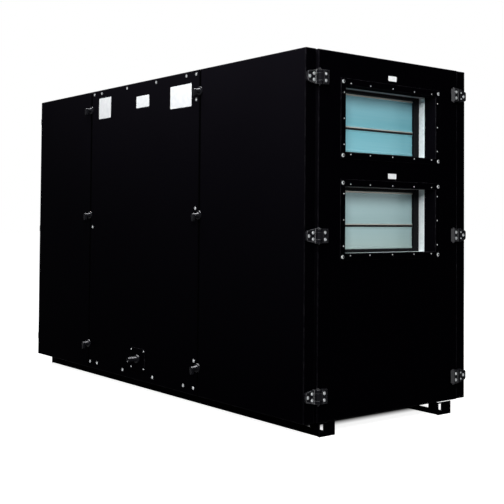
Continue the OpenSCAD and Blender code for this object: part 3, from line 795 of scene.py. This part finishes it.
# %% Fitting and drain screws
WALL_SCREW, BLOCK_SCREW = (0.0060, 0.0033, 0.0065, 0.0006), (0.0060, 0.0036, 0.0065, 0.0006)
CATCH_SCREW, DRAIN_SCREW = (0.0031, 0.0028, 0.0034, 0.0004), (0.0034, 0.0026, 0.0040, 0.0005)
DRAIN_ACROSS, DRAIN_UP = 0.052, 0.039

on_wall, on_catch, on_door = fitting_places("hinge_blocks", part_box("side_panel_right")[1].x,
                                            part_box("hinge_blocks")[1].x - BLOCK_SUNK, 1)
far_wall, far_catch, far_door = fitting_places("far_keeper_blocks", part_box("side_panel_left")[0].x,
                                               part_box("far_keeper_blocks")[0].x + BLOCK_SUNK, -1)
screws("wall_plate_screws", "casing", on_wall, pan_tree, WALL_SCREW, seed=21)
screws("door_block_screws", "door", on_door, pan_tree, BLOCK_SCREW, seed=22)
screws("far_keeper_screws", "casing", far_wall + far_door, pan_tree, WALL_SCREW, seed=23)
screws("catch_screws", "casing", on_catch + far_catch, pan_tree, CATCH_SCREW, seed=24)

drain_low, drain_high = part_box("drain_plate")
mid = (drain_low + drain_high) / 2
drain_corners = [((mid.x + x * DRAIN_ACROSS, drain_low.y, mid.z + z * DRAIN_UP), (0, -1, 0))
                 for x in (-1, 1) for z in (-1, 1)]
screws("drain_plate_screws", "casing", drain_corners, pan_tree, DRAIN_SCREW, seed=31)

# %% [markdown]
# ## Bare plates
# Five white plates show where a unit carries its data. Here they stay bare. Each is a thin
# sheet with small round corners: an outline that is filled and then pulled to its thickness.
# A flat card with sharp corners would be less work, and it would look like a hole cut in the
# coat. Those on the long side are painted greyer, a painted shade that holds them back under
# the close lamp there, and those on the door are whiter.

# %% From outlines to a piece
def pulled(work, outline, along, finish=0):
    """Fills an outline of points and pulls it along a vector. finish counts from 0."""
    ring = [work.verts.new(point) for point in outline]
    moved = bmesh.ops.extrude_face_region(work, geom=[work.faces.new(ring)])["geom"]
    bmesh.ops.translate(work, vec=along, verts=[v for v in moved if isinstance(v, bmesh.types.BMVert)])
    skin = {face for corner in ring for face in corner.link_faces}
    skin |= {face for face in moved if isinstance(face, bmesh.types.BMFace)}
    for face in skin:
        face.material_index = finish


def mesh_piece(name, body, work, *finishes, sharp=None):
    """Makes a piece of what was built, with faces outwards, and lets it ride on its body."""
    bmesh.ops.recalc_face_normals(work, faces=work.faces)
    mesh = bpy.data.meshes.new(name)
    work.to_mesh(mesh)
    work.free()
    for finish in finishes:
        mesh.materials.append(finish)
    if sharp:
        mesh.shade_smooth()
        mesh.set_sharp_from_angle(angle=sharp)
    piece = bpy.data.objects.new(name, mesh)
    scene.collection.objects.link(piece)
    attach(piece, body)
    print(name, "on", body + ":", len(mesh.polygons), "faces")

# %% Card and plates
PLATE_CORNER, PLATE_THICK = 0.003, 0.0008
# Signs of a corner's place, and the angle where its arc starts
CORNERS = ((1, 1, 0), (-1, 1, 90), (-1, -1, 180), (1, -1, 270))
ARC_STEPS = 4


def card_finish(name, clean, soiled):
    card, tree, shader = new_finish(name, Specular_IOR_Level=0.4)
    grained(tree, shader, rounded_edges(tree, radius=0.0008), scale=260.0, strength=0.05, depth=0.0003)
    faint = noise(tree, scale=55.0, detail=5.0)
    feed(tree, shader, Base_Color=blend(tree, remap(tree, faint, (0.35, 0.75)), clean, soiled),
         Roughness=remap(tree, faint, NOISE_SPAN, (0.32, 0.48)))
    return card


def bare_plates(name, body, plates, out, along, card):
    """plates holds (centre, width, height); along runs with the width, and +Z with the height."""
    work = bmesh.new()
    for centre, width, height in plates:
        outline = []
        for sign_x, sign_z, start in CORNERS:
            for step in range(ARC_STEPS + 1):
                turn = math.radians(start + 90 * step / ARC_STEPS)
                x = sign_x * (width / 2 - PLATE_CORNER) + PLATE_CORNER * math.cos(turn)
                z = sign_z * (height / 2 - PLATE_CORNER) + PLATE_CORNER * math.sin(turn)
                outline.append(Vector(centre) + Vector(along) * x + Vector((0, 0, z)))
        pulled(work, outline, Vector(out) * PLATE_THICK)
    mesh_piece(name, body, work, card)

# %% Places of the plates
# On the side: from the panel's middle, below its top, width and height
SIDE_PLATES = ((-0.331, 0.090, 0.113, 0.099), (0.013, 0.091, 0.108, 0.053), (0.320, 0.099, 0.160, 0.096))
# On the door: above the middle of an opening, and the size of the plate
DOOR_PLATE_UP, DOOR_PLATE = {"upper": 0.171, "lower": 0.168}, (0.045, 0.020)

# The side plates are the same white, painted greyer as painted shade against the close lamp
side_card = card_finish("grey_white_plate", clean=(0.57, 0.58, 0.59), soiled=(0.50, 0.515, 0.53))
door_card = card_finish("white_plate", clean=(0.86, 0.87, 0.88), soiled=(0.78, 0.79, 0.80))
low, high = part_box("side_panel_middle")
on_side = [(((low.x + high.x) / 2 + x, low.y, high.z - below), width, height)
           for x, below, width, height in SIDE_PLATES]
bare_plates("side_plates", "casing", on_side, (0, -1, 0), (1, 0, 0), side_card)
door_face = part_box("end_door")[1].x
over = []
for storey, rise in DOOR_PLATE_UP.items():
    low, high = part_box("flange_" + storey)
    over.append(((door_face, (low.y + high.y) / 2, (low.z + high.z) / 2 + rise), *DOOR_PLATE))
bare_plates("door_plates", "door", over, (1, 0, 0), (0, 1, 0), door_card)

# %% [markdown]
# ## Seals in the open joints
# Between two panels runs an open joint, and a black rubber strip closes it from behind. It
# lies deeper than the face, so from outside the joint reads as one dark line. The strip has a
# round nose, drawn as a profile and pulled along the height.

# %% Seal rubber
RUBBER_DARK, RUBBER_CHALKY = (0.004, 0.004, 0.004), (0.010, 0.010, 0.010)

rubber, tree, shader = new_finish("seal_rubber", Specular_IOR_Level=0.2)
chalk = noise(tree, scale=30.0, detail=5.0)
feed(tree, shader, Base_Color=blend(tree, chalk, RUBBER_DARK, RUBBER_CHALKY),
     Roughness=remap(tree, chalk, NOISE_SPAN, (0.6, 0.8)))
print("made finish:", rubber.name)


def arc(wide, high, step):
    """Points of half an ellipse, from one side over the top to the other, step in degrees."""
    turns = [math.radians(degrees) for degrees in range(0, 181, step)]
    return [(wide * math.cos(turn), high * math.sin(turn)) for turn in turns]

# %% Joint seals
# How deep the nose's middle lies behind the face, and how far the strip runs back from there
NOSE_SUNK, STRIP_DEEP = 0.008, 0.012

work = bmesh.new()
for start, outward in (("side_panel_", -1), ("back_panel_", 1)):
    for first, second in (("left", "middle"), ("middle", "right")):
        ends, (low, high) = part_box(start + first)[1].x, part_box(start + second)
        face = low.y if outward < 0 else high.y
        centre, half = (ends + low.x) / 2, (low.x - ends) / 2
        profile = arc(half, half, step=30) + [(-half, -STRIP_DEEP), (half, -STRIP_DEEP)]
        outline = [(centre + x, face - outward * (NOSE_SUNK - y), low.z) for x, y in profile]
        pulled(work, outline, (0, 0, high.z - low.z))
mesh_piece("joint_seals", "casing", work, rubber)

# %% [markdown]
# ## The door's seal
# An end door must be airtight, so a rubber bead runs all round its seat, and the shut
# door lies close in front of it. It shows when the door stands open. The bead is one profile
# carried round a rectangle. Each corner is mitred by moving the profile outwards along both
# sides at once, so four rings of points are enough for the whole seal.

# %% Door seal
BULB_HALF, BULB_HIGH = 0.0048, 0.0042
# How far the bead's middle lies inside the stops and inside floor and roof
SEAT_IN_Y, SEAT_IN_Z = 0.015, 0.025

stop_low, stop_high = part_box("door_stops")
deck_low, deck_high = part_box("floor_panel")[0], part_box("roof_panel")[1]
middle = Vector((stop_high.x, (stop_low.y + stop_high.y) / 2, (deck_low.z + deck_high.z) / 2))
half_y = (stop_high.y - stop_low.y) / 2 - SEAT_IN_Y
half_z = (deck_high.z - deck_low.z) / 2 - SEAT_IN_Z
bulb = arc(BULB_HALF, BULB_HIGH, step=15)
work = bmesh.new()
rings = [[work.verts.new(middle + Vector((h, sy * (half_y + u), sz * (half_z + u)))) for u, h in bulb]
         for sy, sz in ((-1, -1), (1, -1), (1, 1), (-1, 1))]
for ring, following in zip(rings, rings[1:] + rings[:1]):
    for i in range(len(bulb)):
        j = (i + 1) % len(bulb)
        work.faces.new((ring[i], ring[j], following[j], following[i]))
mesh_piece("door_seal", "casing", work, rubber, sharp=math.radians(40))

# %% [markdown]
# ## Seals between the damper blades
# Where two blades meet, the upper one carries a bright aluminium edge strip that grips a
# rubber bead. The bead closes the joint, and from outside it is the dark line across the
# opening with a thin pale line above it. A second strip runs along the upper blade's top.
# All are long profiles, pulled along the opening as the plates were pulled to their
# thickness. They ride with their dampers: two on the door, two on the casing.

# %% Edge strip
ALUMINIUM_DULL, ALUMINIUM_BRIGHT = (0.42, 0.40, 0.36), (0.62, 0.60, 0.55)

edge_strip, tree, shader = new_finish("edge_strip_aluminium", Metallic=0.4)
drawn = noise(tree, scale=300.0, stretch=(1, 0.02, 1))
feed(tree, shader, Base_Color=blend(tree, drawn, ALUMINIUM_DULL, ALUMINIUM_BRIGHT),
     Roughness=remap(tree, drawn, NOISE_SPAN, (0.34, 0.52)))
print("made finish:", edge_strip.name)

# %% Blade seals
# The blades' joint below the opening's middle, and the gap at both ends of a seal
SPLIT, END_GAP = 0.021, 0.002
# The bead's half height and bulge, and how far its middle lies below the joint
BEAD_HALF, BEAD_OUT, BEAD_DROP = 0.0042, 0.0026, 0.0018
# A strip's thickness at its foot and at its top, and the height of the slant between them
LIP_OUT, LIP_TIP, LIP_SLANT = 0.0014, 0.0006, 0.0006
# Foot and top of the two strips, from the joint and from the blade's top
LIP_AT_JOINT, LIP_AT_TOP = (0.0028, 0.0064), (-0.0070, -0.0010)


def blade_seals(name, body, start, outward):
    work = bmesh.new()
    for storey in ("upper", "lower"):
        low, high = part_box(start + "leaves_" + storey)
        hole_low, hole_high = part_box(start + "flange_" + storey)
        joint = (hole_low.z + hole_high.z) / 2 - SPLIT
        face = high.x if outward > 0 else low.x
        bead = [(out, joint - BEAD_DROP + rise) for rise, out in arc(BEAD_HALF, BEAD_OUT, step=20)]
        profiles = [(bead, 0)]
        for level, (foot, top) in ((joint, LIP_AT_JOINT), (high.z, LIP_AT_TOP)):
            lip = [(0, foot), (LIP_OUT, foot), (LIP_OUT, top - LIP_SLANT), (LIP_TIP, top), (0, top)]
            profiles.append(([(out, level + rise) for out, rise in lip], 1))
        for profile, finish in profiles:
            outline = [(face + outward * out, low.y + END_GAP, z) for out, z in profile]
            pulled(work, outline, (0, high.y - low.y - 2 * END_GAP, 0), finish)
    mesh_piece(name, body, work, rubber, edge_strip)


blade_seals("blade_seals", "door", "", 1)
blade_seals("far_blade_seals", "casing", "far_", -1)
